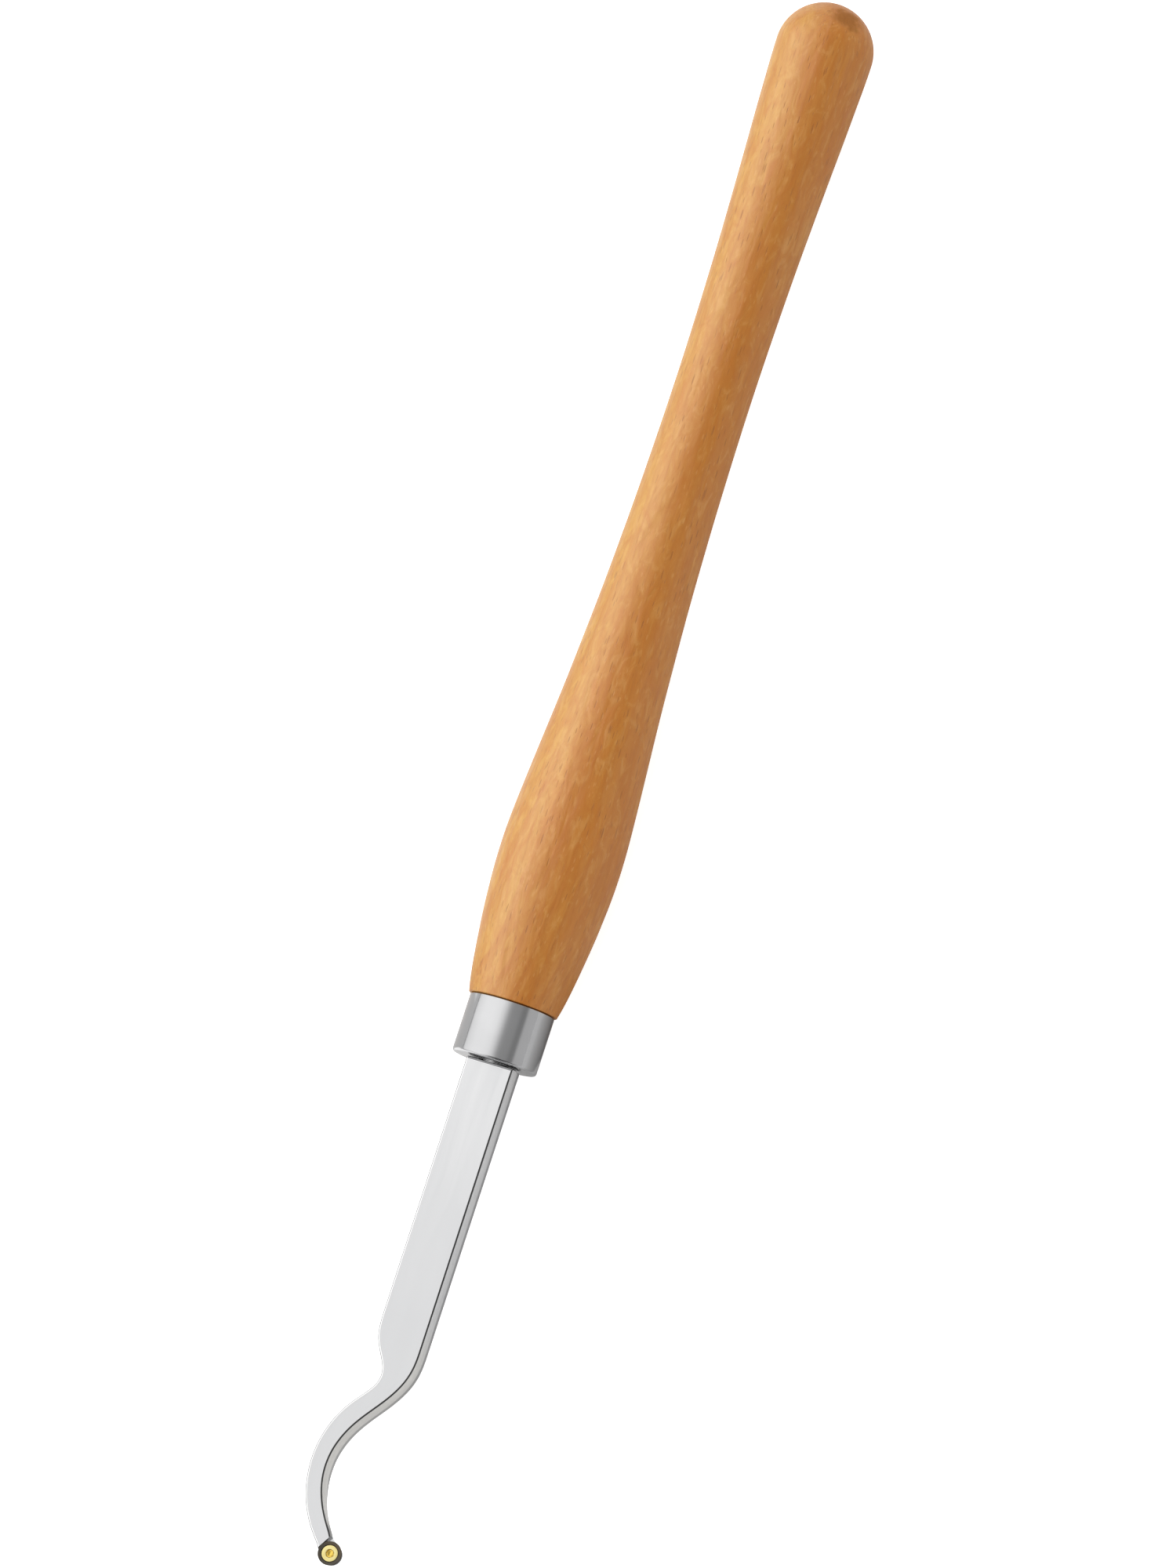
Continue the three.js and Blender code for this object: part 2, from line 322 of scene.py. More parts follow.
# ------------------------------------------------------------------ materials
def beech():
    m = Nodes("beech")
    obj = m.node("TexCoord").outputs["Object"]
    # the grain runs a little across the turning
    lean = (0.0, 0.0, math.radians(-9.0))
    steep = (0.0, 0.0, math.radians(-14.0))
    # growth rings about a pith outside the blank, wavering along the grain
    warp = m.node("TexNoise", {"Vector": m.coords((9.0, 40.0, 40.0), lean, source=obj), "Scale": 1.0, "Detail": 3.0})
    shift = m.node("VectorMath", {0: warp.outputs["Color"], 1: (0.5, 0.5, 0.5)}, operation="SUBTRACT").outputs[0]
    shift = m.node("VectorMath", {0: shift, 1: (0.0, 0.012, 0.012)}, operation="MULTIPLY").outputs[0]
    bent = m.node("VectorMath", {0: obj, 1: shift}, operation="ADD").outputs[0]
    sep = m.node("SeparateXYZ", {0: bent}).outputs
    dy = m.math("SUBTRACT", m.math("MULTIPLY_ADD", sep[0], 0.10, sep[1]), 0.041)
    dz = m.math("SUBTRACT", m.math("MULTIPLY_ADD", sep[0], -0.045, sep[2]), -0.008)
    radius = m.math("SQRT", m.math("ADD", m.math("MULTIPLY", dy, dy), m.math("MULTIPLY", dz, dz)))
    rings = m.math("FRACT", m.math("MULTIPLY", radius, 1 / 0.0056))
    ring_dark = m.math("MULTIPLY", m.remap(rings, 0.35, 0.92, 0.0, 1.0, True), m.remap(rings, 0.93, 1.0, 1.0, 0.0))
    x = m.node("SeparateXYZ", {0: obj}).outputs[0]
    # broad drift, soft mottling, streaks and fibres
    drift = m.noise(m.coords((14.0, 55.0, 55.0), lean, source=obj), 1.0, 2.0, 0.5, 0.4)
    hue = m.noise(m.coords((26.0, 85.0, 85.0), lean, (3.1, 0.7, 5.3), source=obj), 1.0, 2.0, 0.5, 0.3)
    mottle = m.noise(m.coords((105.0, 250.0, 250.0), steep, source=obj), 1.0, 3.0, 0.6, 1.3)
    streak = m.noise(m.coords((75.0, 900.0, 900.0), steep, source=obj), 1.0, 3.0, 0.55, 0.2)
    fibre = m.noise(m.coords((300.0, 4200.0, 4200.0), lean, source=obj), 1.0, 3.0, 0.6)
    base = m.mix(m.remap(drift, 0.34, 0.66), (0.665, 0.280, 0.042), (0.585, 0.206, 0.012))
    base = m.mix(m.remap(hue, 0.40, 0.68, 0.0, 0.55), base, (0.630, 0.232, 0.026))
    # painted light: a little paler and yellower on the -Y side of the handle, the side the light falls on
    side_y = m.node("SeparateXYZ", {0: bent}).outputs[1]
    base = m.mix(m.remap(side_y, 0.004, -0.011, 0.0, 0.70, True), base, (0.685, 0.378, 0.060))
    # and painted shade: a little deeper just past the middle, on the +Y side
    painted_shade_band = m.math("MULTIPLY", m.remap(side_y, 0.0, 0.003, 0.0, 0.22), m.remap(side_y, 0.008, 0.012, 1.0, 0.0))
    base = m.mix(painted_shade_band, base, (0.500, 0.150, 0.004))
    base = m.mix(m.math("MULTIPLY", ring_dark, m.remap(x, -0.05, 0.07, 0.20, 0.44, True)), base, (0.490, 0.142, 0.006))
    base = m.mix(m.remap(mottle, 0.40, 0.66, 0.0, 0.46), base, (0.550, 0.155, 0.004))
    base = m.mix(m.remap(mottle, 0.45, 0.30, 0.0, 0.36), base, (0.760, 0.380, 0.105))
    base = m.mix(m.remap(streak, 0.48, 0.70, 0.0, 0.30), base, (0.460, 0.130, 0.004))
    base = m.mix(m.remap(fibre, 0.45, 0.70, 0.0, 0.10), base, (0.45, 0.14, 0.010))
    # rays: short dark dashes across the lean of the grain, some with a painted highlight beside them as a pale dash
    lane = m.noise(m.coords((40.0, 110.0, 110.0), lean, source=obj), 1.0, 1.0)

    def dashes(where, least, most):
        cells = m.node("TexVoronoi", {"Vector": where, "Scale": 1.0, "Randomness": 1.0}, feature="F1")
        pick = m.node("SeparateColor", {0: cells.outputs["Color"]}).outputs[0]
        size = m.remap(pick, least, 1.0, 0.0, most)
        return m.remap(m.math("SUBTRACT", size, cells.outputs["Distance"]), 0.0, 0.13, 0.0, 1.0, True)

    dark = dashes(m.coords((190.0, 1550.0, 1550.0), steep, source=obj), 0.38, 0.46)
    dark = m.math("MULTIPLY", dark, m.remap(lane, 0.36, 0.64, 0.25, 1.0))
    pale = dashes(m.coords((300.0, 1300.0, 1300.0), steep, (4.4, 1.9, 7.7), source=obj), 0.60, 0.42)
    base = m.mix(m.math("MULTIPLY", pale, 0.20), base, (0.860, 0.470, 0.160))
    base = m.mix(m.math("MULTIPLY", dark, 0.64), base, (0.345, 0.105, 0.004))
    # end grain shows darker at the very end of the butt; and a darker, duller patch sits high on the dome, fading out
    # around it
    near = m.node("VectorMath", {0: obj, 1: (0.2652, -0.0066, -0.0104)}, operation="ADD").outputs[0]
    near = m.node("VectorMath", {0: near, 1: (1 / 0.0034, 1 / 0.0062, 1 / 0.0062)}, operation="MULTIPLY").outputs[0]
    wobble = m.noise(m.coords((260.0, 260.0, 260.0), source=obj), 1.0, 2.0)
    far = m.math("ADD", m.node("VectorMath", {0: near}, operation="LENGTH").outputs["Value"], m.remap(wobble, 0.3, 0.7, -0.35, 0.35))
    patch = m.remap(far, 1.35, 0.45, 0.0, 0.88, True)
    pores = m.noise(m.coords((700.0, 900.0, 900.0), source=obj), 1.0, 3.0, 0.6)
    end = m.math("MULTIPLY", m.remap(x, -0.2600, -0.2700, 0.0, 0.55, True), m.remap(pores, 0.3, 0.7, 0.55, 1.0))
    base = m.mix(end, base, (0.540, 0.185, 0.020))
    base = m.mix(patch, base, (0.350, 0.112, 0.001))
    rough = m.remap(m.noise(m.coords((60.0, 300.0, 300.0), lean, source=obj), 1.0, 3.0), 0.3, 0.7, 0.37, 0.45)
    rough = m.math("MULTIPLY_ADD", patch, 0.42, rough)
    m.set(Base_Color=base, Roughness=rough, IOR=1.62)
    # the varnish shines unevenly where the fibres rise and dip under it
    curl = m.noise(m.coords((50.0, 150.0, 150.0), steep, (1.7, 2.9, 0.3), source=obj), 1.0, 2.0, 0.5, 0.6)
    relief = m.math("ADD", m.math("MULTIPLY", dark, -0.07), m.math("ADD", m.math("MULTIPLY", streak, 0.04), m.math("MULTIPLY", mottle, 0.20)))
    m.bump(m.math("ADD", relief, curl), 1.0, 0.0006)
    return m.mat


def plated():
    m = Nodes("plated_steel")
    obj = m.node("TexCoord").outputs["Object"]
    lines = m.noise(m.coords((9000.0, 12.0, 12.0), source=obj), 1.0, 3.0, 0.7)
    cloud = m.noise(m.coords((90.0, 60.0, 60.0), source=obj), 1.0, 2.0, 0.5)
    base = m.mix(m.remap(cloud, 0.3, 0.7), (0.535, 0.535, 0.54), (0.505, 0.505, 0.51))
    base = m.mix(m.remap(lines, 0.35, 0.7, 0.0, 0.12), base, (0.43, 0.43, 0.44))
    m.set(Base_Color=base, Metallic=1.0, Roughness=m.remap(lines, 0.3, 0.7, 0.09, 0.17))
    m.bump(lines, 0.05, 0.00002)
    return m.mat


def polished():
    m = Nodes("polished_steel")
    obj = m.node("TexCoord").outputs["Object"]
    grind = m.noise(m.coords((40.0, 5200.0, 5200.0), source=obj), 1.0, 3.0, 0.7)
    cloud = m.noise(m.coords((22.0, 130.0, 130.0), source=obj), 1.0, 3.0, 0.5, 0.6)
    base = m.mix(m.remap(cloud, 0.3, 0.7), (0.60, 0.60, 0.604), (0.565, 0.566, 0.572))
    # painted shade: the face a little darker towards the neck
    along = m.node("SeparateXYZ", {0: obj}).outputs[0]
    base = m.mix(m.remap(along, 0.105, 0.185, 0.0, 1.0), base, (0.525, 0.526, 0.532))
    base = m.mix(m.remap(grind, 0.35, 0.7, 0.0, 0.10), base, (0.46, 0.463, 0.47))
    m.set(Base_Color=base, Metallic=1.0, Roughness=m.remap(cloud, 0.3, 0.7, 0.11, 0.19))
    wave = m.math("ADD", m.math("MULTIPLY", cloud, 1.0), m.math("MULTIPLY", grind, 0.02))
    m.bump(wave, 0.06, 0.0004)
    return m.mat


def ground(name, light, dim, dark):
    m = Nodes(name)
    obj = m.node("TexCoord").outputs["Object"]
    lines = m.noise(m.coords((60.0, 900.0, 900.0), source=obj), 1.0, 4.0, 0.7)
    patch = m.noise(m.coords((120.0, 120.0, 120.0), source=obj), 1.0, 2.0)
    base = m.mix(m.remap(patch, 0.3, 0.7), (light, light, light * 0.995), (dim, dim, dim))
    base = m.mix(m.remap(lines, 0.4, 0.7, 0.0, 0.3), base, (dark, dark, dark * 1.01))
    m.set(Base_Color=base, Metallic=1.0, Roughness=m.remap(lines, 0.3, 0.7, 0.16, 0.26))
    m.bump(lines, 0.05, 0.00003)
    return m.mat


def side():
    m = Nodes("ground_side")
    obj = m.node("TexCoord").outputs["Object"]
    lines = m.noise(m.coords((25.0, 900.0, 2600.0), source=obj), 1.0, 3.0, 0.6)
    patch = m.noise(m.coords((60.0, 120.0, 120.0), source=obj), 1.0, 2.0)
    height = m.node("SeparateXYZ", {0: obj}).outputs[2]
    # painted light: a bright band along the upper half, painted shade along the lower half
    low = m.mix(m.remap(patch, 0.3, 0.7), (0.34, 0.34, 0.343), (0.30, 0.30, 0.303))
    high = m.mix(m.remap(patch, 0.3, 0.7), (0.98, 0.98, 0.98), (0.93, 0.93, 0.934))
    base = m.mix(m.remap(height, -0.0012, 0.0008, 0.0, 1.0, True), low, high)
    # warmer along the neck, and darkened around the nose with painted shade
    along = m.node("SeparateXYZ", {0: obj}).outputs[0]
    base = m.mix(m.remap(along, 0.180, 0.205, 0.0, 0.55, True), base, m.mix(1.0, base, (1.0, 0.965, 0.88), "MULTIPLY"))
    base = m.mix(m.remap(along, 0.2550, 0.2600, 0.0, 0.85, True), base, (0.19, 0.186, 0.178))
    base = m.mix(m.remap(lines, 0.4, 0.7, 0.0, 0.22), base, (0.30, 0.30, 0.304))
    m.set(Base_Color=base, Metallic=1.0, Roughness=m.remap(lines, 0.3, 0.7, 0.14, 0.24))
    m.bump(lines, 0.05, 0.00003)
    return m.mat


def carbide():
    m = Nodes("carbide")
    obj = m.node("TexCoord").outputs["Object"]
    grain = m.noise(m.coords((6000.0, 6000.0, 6000.0), source=obj), 1.0, 3.0, 0.7)
    tint = m.noise(m.coords((260.0, 260.0, 260.0), source=obj), 1.0, 1.0)
    base = m.mix(m.remap(tint, 0.3, 0.7), (0.090, 0.068, 0.044), (0.066, 0.060, 0.046))
    base = m.mix(m.remap(grain, 0.4, 0.7, 0.0, 0.3), base, (0.10, 0.089, 0.077))
    m.set(Base_Color=base, Metallic=0.75, Roughness=m.remap(grain, 0.3, 0.7, 0.34, 0.46))
    m.bump(grain, 0.08, 0.00003)
    return m.mat


def gold():
    m = Nodes("gold_screw")
    obj = m.node("TexCoord").outputs["Object"]
    grain = m.noise(m.coords((2600.0, 2600.0, 2600.0), source=obj), 1.0, 3.0, 0.6)
    tone = m.noise(m.coords((500.0, 500.0, 500.0), source=obj), 1.0, 1.0)
    base = m.mix(m.remap(tone, 0.3, 0.7), (0.70, 0.62, 0.285), (0.66, 0.56, 0.225))
    base = m.mix(m.remap(grain, 0.4, 0.7, 0.0, 0.14), base, (0.53, 0.38, 0.12))
    # the light goes round in the socket and takes a deeper gold
    deep = m.remap(m.node("SeparateXYZ", {0: obj}).outputs[2], 0.00578, 0.00535, 0.0, 0.92)
    base = m.mix(deep, base, (0.80, 0.56, 0.10))
    m.set(Base_Color=base, Metallic=1.0, Roughness=m.remap(grain, 0.3, 0.7, 0.20, 0.32))
    m.bump(grain, 0.06, 0.00002)
    return m.mat


def glue():
    m = Nodes("epoxy")
    obj = m.node("TexCoord").outputs["Object"]
    cloud = m.noise(m.coords((80.0, 300.0, 300.0), source=obj), 1.0, 3.0, 0.6)
    base = m.mix(m.remap(cloud, 0.3, 0.7), (0.55, 0.45, 0.22), (0.42, 0.33, 0.15))
    m.set(Base_Color=base, Roughness=m.remap(cloud, 0.3, 0.7, 0.25, 0.40))
    return m.mat


# three of the edge steels are painted light: the darkest is a painted dark line, the brightest a painted highlight
# band and the dim one a painted grey line
MAT = {"beech": beech(), "plated": plated(), "steel": polished(), "ground": ground("ground_edge", 0.53, 0.47, 0.38), "painted_dark_line": ground("painted_dark_line_edge", 0.17, 0.14, 0.11), "bright": ground("painted_highlight_edge", 0.90, 0.85, 0.78), "dim": ground("painted_grey_line_edge", 0.36, 0.33, 0.29), "side": side(), "carbide": carbide(), "gold": gold(), "glue": glue()}


# ------------------------------------------------------------------ handle
def make_handle():
    centre = BUTT + BUTT_R
    profile = [(BUTT, 0.0)]
    profile += rounded(centre, 0.0, BUTT_R, 180 - 2.0, 92.0, 30)
    knots = [(centre, BUTT_R)] + OUTLINE
    xs = np.concatenate([np.arange(centre + 0.8, -60, 2.2), np.arange(-60, -20.2, 1.4), [-20.1]])
    profile += list(zip(xs, spline(knots, xs)))
    end_r = float(spline(knots, [-19.75])[0])
    profile += rounded(-19.75, end_r - 0.4, 0.4, 90, 0, 5)[0:]
    profile += [(-19.35, 12.9), (-19.35, 12.5), (-3.5, 12.5), (-2.9, 11.9), (-2.9, 6.2), (-97.5, 6.2), (-97.5, 0.0)]
    return new_object("turned_handle", *revolve(profile, 160, along_x), sharp=32)


handle = make_handle()
finish_piece(handle, "tool", "handle", "beech", MAT["beech"])


# ------------------------------------------------------------------ ferrule
def make_ferrule():
    profile = [(-19.05, 12.8), (-19.05, 14.12)]
    profile += rounded(-18.77, 14.12, 0.28, 180, 90, 4)[1:]
    profile += [(-15.0, 14.4), (-10.0, 14.4), (-5.0, 14.4)]
    profile += rounded(FACE - 1.0, 13.4, 1.0, 90, 0, 14)
    profile += [(FACE, 11.0), (FACE, 8.5), (FACE, 5.9)]
    profile += rounded(FACE - 0.3, 5.7, 0.3, 0, -90, 5)
    profile += [(-2.0, 5.4)] + rounded(-2.2, 5.6, 0.2, -90, -180, 3) + [(-2.4, 12.8)]
    return new_object("steel_ferrule", *revolve(profile, 192, along_x, closed=True), sharp=32)


ferrule = make_ferrule()
finish_piece(ferrule, "tool", "ferrule", "plated_steel", MAT["plated"])


# ------------------------------------------------------------------ bar with swan neck, nose and tang
def bar_outline():
    outer = smooth_path(NECK_OUTER, 0.5)
    inner = smooth_path(NECK_INNER, 0.5)[::-1]
    nose = np.array(rounded(TIP, 0.0, NOSE_R, -66, 148, 44))
    c = 0.45
    start = [(SHOULDER, -HALF_W + c), (SHOULDER + c, -HALF_W)]
    end = [(x, -y) for x, y in start[::-1]]
    lower = [(x, -HALF_W) for x in np.arange(4.0, 88.0, 4.0)]
    upper = [(x, HALF_W) for x in np.arange(96.0, 0.0, -4.0)]
    pts = np.concatenate([np.array(start), np.array(lower), outer, nose, inner, np.array(upper), np.array(end)])
    keep = [0]
    for i in range(1, len(pts)):
        if np.linalg.norm(pts[i] - pts[keep[-1]]) > 0.12:
            keep.append(i)
    if np.linalg.norm(pts[keep[-1]] - pts[keep[0]]) < 0.12:
        keep.pop()
    return pts[keep]


def underside(x):
    """Height of the underside at a station."""
    x = np.asarray(x, float)
    z = spline(RELIEF, np.clip(x, 141.0, 176.0))
    return np.where(x <= 142.0, -HALF_T, np.where(x >= 168.5, 0.9, np.clip(z, -HALF_T, 0.9)))


# section of the ground edges, (inset, depth): the top one is broken at a flat angle, the bottom one at 45 degrees
TOP_EDGE = [(0.56, 0.0), (0.53, 0.004), (0.495, 0.018), (0.30, 0.130), (0.085, 0.255), (0.045, 0.285), (0.018, 0.325), (0.004, 0.37), (0.0, 0.42)]
BOTTOM_EDGE = [(0.0, 0.45), (0.01, 0.39), (0.05, 0.33), (0.33, 0.05), (0.39, 0.01), (0.45, 0.0)]


def make_bar():
    p = bar_outline()
    n = len(p)
    a, b = np.roll(p, 1, axis=0), np.roll(p, -1, axis=0)
    e0, e1 = p - a, b - p
    e0 /= np.linalg.norm(e0, axis=1)[:, None]
    e1 /= np.linalg.norm(e1, axis=1)[:, None]
    t = e0 + e1
    t /= np.linalg.norm(t, axis=1)[:, None]
    out = np.stack([t[:, 1], -t[:, 0]], axis=1)      # the outline runs counter-clockwise
    low = underside(p[:, 0])
    half = (HALF_T - TOP_EDGE[-1][1] - low - BOTTOM_EDGE[0][1]) / 2
    crown, proud = 0.10 * half, 0.072 * half         # the ground sides stand a little proud in the middle
    rings = []

    def ring(q, z):
        # the end by the ferrule is rounded over, top and bottom
        over = np.clip(END_ROUND - np.minimum(HALF_T - z, HALF_T + z), 0.0, END_ROUND)
        q = np.column_stack([np.maximum(q[:, 0], SHOULDER + END_ROUND - np.sqrt(END_ROUND**2 - over**2)), q[:, 1]])
        rings.append(np.column_stack([q, z]))

    for inset, depth in TOP_EDGE:
        ring(p - out * (inset + crown - proud)[:, None], np.full(n, HALF_T - depth))
    for f in (-0.97, -0.93, -0.88, -0.80, -0.62, -0.4, -0.2, 0.0, 0.2, 0.4, 0.62, 0.80, 0.90):
        top, bottom = HALF_T - TOP_EDGE[-1][1], low + BOTTOM_EDGE[0][1]
        ring(p - out * (crown * f * f - proud)[:, None], (top + bottom) / 2 - f * half)
    for inset, depth in BOTTOM_EDGE:
        q = p - out * (inset + crown - proud)[:, None]
        ring(q, underside(q[:, 0]) + depth)
    verts = [tuple(v) for ring in rings for v in ring]
    faces, ground = [], []
    for k in range(len(rings) - 1):
        for i in range(n):
            j = (i + 1) % n
            ground.append(1 if 1 <= k < len(TOP_EDGE) - 1 or k >= len(rings) - 5 else 2)
            faces.append((k * n + i, k * n + j, (k + 1) * n + j, (k + 1) * n + i))
    faces.append(tuple(range(n - 1, -1, -1)))        # top
    # the underside follows the relief: fill it with triangles that have their own inner points
    last = (len(rings) - 1) * n
    rim = [Vector((float(x), float(y))) for x, y in rings[-1][:, :2]]
    inside = []
    for x in np.concatenate([np.arange(1.0, 141.0, 6.0), np.arange(141.5, 174.0, 1.0)]):
        cross = []
        for i in range(n):
            (x0, y0), (x1, y1) = rim[i], rim[(i + 1) % n]
            if (x0 - x) * (x1 - x) < 0:
                cross.append(y0 + (y1 - y0) * (x - x0) / (x1 - x0))
        cross.sort()
        for y0, y1 in zip(cross[::2], cross[1::2]):
            if y1 - y0 > 1.2:
                inside += [Vector((float(x), y0 + (y1 - y0) * f)) for f in (0.2, 0.5, 0.8)]
    flat = rim + inside
    got = geometry.delaunay_2d_cdt(flat, [(i, (i + 1) % n) for i in range(n)], [list(range(n))], 1, 1e-6)
    index = []
    for v, origin in zip(got[0], got[3]):
        if origin and origin[0] < n:
            index.append(last + origin[0])
        else:
            index.append(len(verts))
            verts.append((v.x, v.y, float(underside(v.x))))
    for f in got[2]:
        faces.append(tuple(index[i] for i in f))
    ground += [0] * (len(faces) - len(ground))       # the top and the underside
    ground[(len(rings) - 1) * n] = 0
    verts = [(x + FRONT, y, z) for x, y, z in verts]
    bar = new_object("steel_bar", verts, faces)
    bar.data.materials.append(MAT["steel"])
    bar.data.materials.append(MAT["ground"])
    bar.data.materials.append(MAT["side"])
    bar.data.materials.append(MAT["painted_dark_line"])
    bar.data.materials.append(MAT["bright"])
    bar.data.materials.append(MAT["dim"])
    for number, (face, edge) in enumerate(zip(bar.data.polygons, ground)):
        at_end = face.center.x < (FRONT + SHOULDER + END_ROUND) * MM and face.normal.x < -0.3
        face.material_index = (1 if face.normal.x < -0.7 else 0) if at_end else edge
        # the +Y top chamfer takes the painted dark line; on the -Y one the rings next to the face take the painted
        # highlight band and the rest the painted grey line
        if edge == 1 and not at_end and face.normal.y > 0.2 and face.normal.z > 0.3:
            face.material_index = 3
        if edge == 1 and not at_end and face.normal.y < -0.2 and face.normal.z > 0.3:
            face.material_index = 4 if number // n <= 2 else 5

    tang = [(-95.0, 0.0), (-95.0, 4.2), (-94.2, 5.0), (-0.1, 5.0), (0.3, 4.6), (SHOULDER + 3.0, 4.6), (SHOULDER + 3.0, 0.0)]
    cut(bar, new_object("tang_tool", *revolve(tang, 96, along_x)), "UNION")

    # the stepped seat
    turn = math.radians(SEAT_TURN)
    c, s = math.cos(turn), math.sin(turn)
    box = []
    for z in (SEAT_Z, 9.0):
        for u, v in ((-SEAT_WALL, -12), (10, -12), (10, 12), (-SEAT_WALL, 12)):
            box.append((TIP + FRONT + u * c - v * s, u * s + v * c, z))
    quads = [(0, 3, 2, 1), (4, 5, 6, 7), (0, 1, 5, 4), (1, 2, 6, 5), (2, 3, 7, 6), (3, 0, 4, 7)]
    cut(bar, new_object("seat_tool", box, quads))

    # the screw's hole, with a small countersink at each mouth
    hole = [(0.0, 0.0), (0.0, 2.5), (0.9, 1.85), (1.15, 1.6), (3.2, 1.6), (3.45, 1.85), (4.5, 2.9), (4.5, 0.0)]
    cut(bar, new_object("hole_tool", *revolve(hole, 72, upright)))

    mesh = bar.data
    mesh.polygons.foreach_set("use_smooth", [True] * len(mesh.polygons))
    mesh.set_sharp_from_angle(angle=math.radians(38))
    even = bar.modifiers.new("even_shading", "WEIGHTED_NORMAL")
    even.mode = "FACE_AREA"
    even.weight = 50
    even.keep_sharp = True
    return bar


bar = make_bar()
finish_piece(bar, "tool", "tool_bar", "polished_steel", MAT["steel"], MAT["ground"], MAT["side"], MAT["painted_dark_line"], MAT["bright"], MAT["dim"])


# ------------------------------------------------------------------ round insert
def make_insert():
    top, foot = 6.0, 3.6
    profile = [(foot, 1.9), (foot, 3.40), (foot + 0.05, 3.47)]
    profile += [(top - 0.06, 3.985), (top - 0.03, 4.0), (top, 3.975)]
    profile += [(top, 3.55), (top - 0.05, 3.42), (top - 0.05, 3.16)]
    profile += rounded(top - 0.17, 3.04, 0.12, 0, -90, 3)
    profile += [(5.70, 2.92), (4.53, 1.75), (foot + 0.15, 1.75)]
    return new_object("round_insert", *revolve(profile, 144, upright, closed=True), sharp=28)


insert = make_insert()
finish_piece(insert, "insert", "cutter_insert", "carbide", MAT["carbide"])


# ------------------------------------------------------------------ screw
def make_screw():
    seg, pitch, minor, major = 72, 0.5, 1.19, 1.47
    verts, rings = [(TIP + FRONT, 0.0, 1.0)], [[0]]

    def ring(z, radius):
        ids = []
        for k in range(seg):
            w = 2 * math.pi * k / seg
            r = radius(z, w) if callable(radius) else radius
            ids.append(len(verts))
            verts.append((TIP + FRONT + r * math.cos(w), r * math.sin(w), z))
        rings.append(ids)

    def thread(z, w):
        f = (z / pitch - w / (2 * math.pi)) % 1.0
        v = abs(2 * f - 1)                                  # 1 at a root, 0 at a crest
        v = min(max((v - 0.12) / 0.70, 0.0), 1.0)
        fade = min(max((z - 1.0) / 0.35, 0.0), 1.0) * min(max((4.15 - z) / 0.25, 0.0), 1.0)
        r = major - (major - minor) * v
        low = 1.12 + 0.33 * min(max((z - 1.0) / 0.3, 0.0), 1.0)
        return min(low + 0.02, minor + (r - minor) * fade)

    ring(1.0, 1.05)
    z = 1.04
    while z < 4.2:
        ring(z, thread)
        z += 0.035
    ring(4.28, 1.30)
    ring(4.38, 1.40)
    for zz, r in ((4.46, 1.51), (5.1, 2.15), (5.66, 2.71), (5.70, 2.745), (5.76, 2.75), (5.80, 2.735), (5.835, 2.69), (5.85, 2.62)):
        ring(zz, r)
    ring(5.85, 2.0)
    ring(5.85, 1.6)
    rings.append([len(verts)])
    verts.append((TIP + FRONT, 0.0, 5.85))
    faces = []
    for p, q in zip(rings, rings[1:]):
        for k in range(seg):
            j = (k + 1) % seg
            if len(p) == 1:
                faces.append((p[0], q[j], q[k]))
            elif len(q) == 1:
                faces.append((p[k], p[j], q[0]))
            else:
                faces.append((p[k], p[j], q[j], q[k]))
    screw = new_object("gold_screw", verts, faces)
    # hex socket with a countersunk mouth and a drilled bottom, cut in one go
    across = 2.38 / math.sqrt(3)
    sock, quads = [], []
    for zz in (4.72, 6.6):
        for k in range(6):
            w = math.radians(30 + 60 * k)
            sock.append((TIP + FRONT + across * math.cos(w), across * math.sin(w), zz))
    for k in range(6):
        quads.append((k, (k + 1) % 6, 6 + (k + 1) % 6, 6 + k))
    quads += [(5, 4, 3, 2, 1, 0), (6, 7, 8, 9, 10, 11)]
    socket = new_object("socket_tool", sock, quads)
    cut(socket, new_object("drill_tool", *revolve([(4.20, 0.0), (4.85, 1.10), (5.2, 1.10), (5.2, 0.0)], 60, upright)), "UNION")
    cut(socket, new_object("mouth_tool", *revolve([(5.45, 0.0), (5.45, 1.05), (6.3, 1.90), (6.3, 0.0)], 72, upright)), "UNION")
    cut(screw, socket)
    mesh = screw.data
    mesh.polygons.foreach_set("use_smooth", [True] * len(mesh.polygons))
    mesh.set_sharp_from_angle(angle=math.radians(25))
    return screw


screw = make_screw()
finish_piece(screw, "screw", "cutter_screw", "gold_screw", MAT["gold"])

# ------------------------------------------------------------------ the hidden glue keeps its node
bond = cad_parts["tang_bond"]
bond.data.materials.clear() if not bond.material_slots else None
for slot_ in bond.material_slots:
    slot_.material = MAT["glue"]


# ------------------------------------------------------------------ floor and light
# brightness of the surrounding studio, by angle from straight up towards the tool's left (-Y), in degrees
STUDIO = [
    (-90.0, 0.68), (-62.0, 0.66), (-55.0, 0.32), (-47.0, 0.31), (-37.0, 0.41), (-20.0, 0.44), (-12.0, 0.53),
    (2.0, 1.12), (12.0, 1.38), (30.0, 1.48), (58.0, 1.48), (80.0, 1.30), (87.0, 1.15), (88.2, 0.30), (90.0, 0.30),
]


